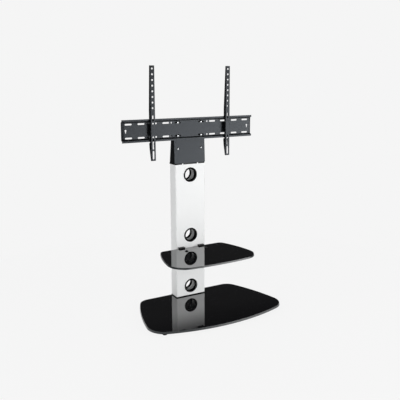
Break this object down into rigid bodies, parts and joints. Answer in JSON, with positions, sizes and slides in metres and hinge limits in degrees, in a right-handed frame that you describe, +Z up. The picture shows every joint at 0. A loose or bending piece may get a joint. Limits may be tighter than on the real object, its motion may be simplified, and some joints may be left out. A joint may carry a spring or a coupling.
{
  "type": "tv stand with mount",
  "caption": "Free-standing screen stand: black glass base and shelf, slim white column with ringed cable holes, black mount plate with sliding arms.",
  "frame": {"origin": "on the floor under the middle of the whole stand", "axes": "+Z up, -Y towards the viewer of the screen (front of the stand), +X to the right seen from the front"},
  "size_m": [0.699, 0.44, 1.154],
  "materials": {
    "black_glass": "black tempered glass, polished, ground and polished edge",
    "white_steel": "white semi-gloss powder coat on steel",
    "black_steel": "black semi-gloss powder coat on sheet steel",
    "mast_steel": "matte black dip coat on sheet steel",
    "bracket_steel": "black powder coat on sheet steel",
    "black_plastic": "black moulded plastic, slight gloss",
    "cap_plastic": "black moulded plastic, matte",
    "foot_rubber": "dark rubber, matte",
    "rubber": "black sheet rubber",
    "zinc": "bright zinc plating"
  },
  "bodies": {
    "stand": {"base_glass": "black_glass", "base_feet": "foot_rubber", "base_clamp_plate": "black_steel", "base_clamp_gasket": "rubber", "base_bolts": "zinc", "column_gasket": "rubber", "column_foot_plate": "white_steel", "column_tube": "white_steel", "column_head_plate": "white_steel", "front_cable_rings": "black_plastic", "rear_cable_rings": "black_plastic", "column_cap": "cap_plastic", "neck_mast": "mast_steel", "mast_bolts": "zinc", "neck_bracket": "black_steel", "neck_bolts": "zinc", "neck_nuts": "zinc", "mount_plate": "black_steel", "mount_bolts": "zinc", "mount_nuts": "zinc", "shelf_glass": "black_glass", "left_shelf_bracket": "bracket_steel", "right_shelf_bracket": "bracket_steel", "bracket_screws": "zinc", "bracket_nuts": "zinc", "shelf_arm_pads": "rubber", "shelf_jaw_pads": "rubber", "shelf_bolts": "black_plastic", "shelf_bolt_washers": "rubber", "shelf_nuts": "zinc"},
    "left_arm": {"left_arm": "black_steel"},
    "right_arm": {"right_arm": "black_steel"}
  },
  "joints": [
    {"name": "left_arm_slide", "type": "slide", "parent": "stand", "child": "left_arm", "axis": [1, 0, 0], "range_m": [-0.13, 0.15]},
    {"name": "right_arm_slide", "type": "slide", "parent": "stand", "child": "right_arm", "axis": [1, 0, 0], "range_m": [-0.15, 0.13]}
  ]
}
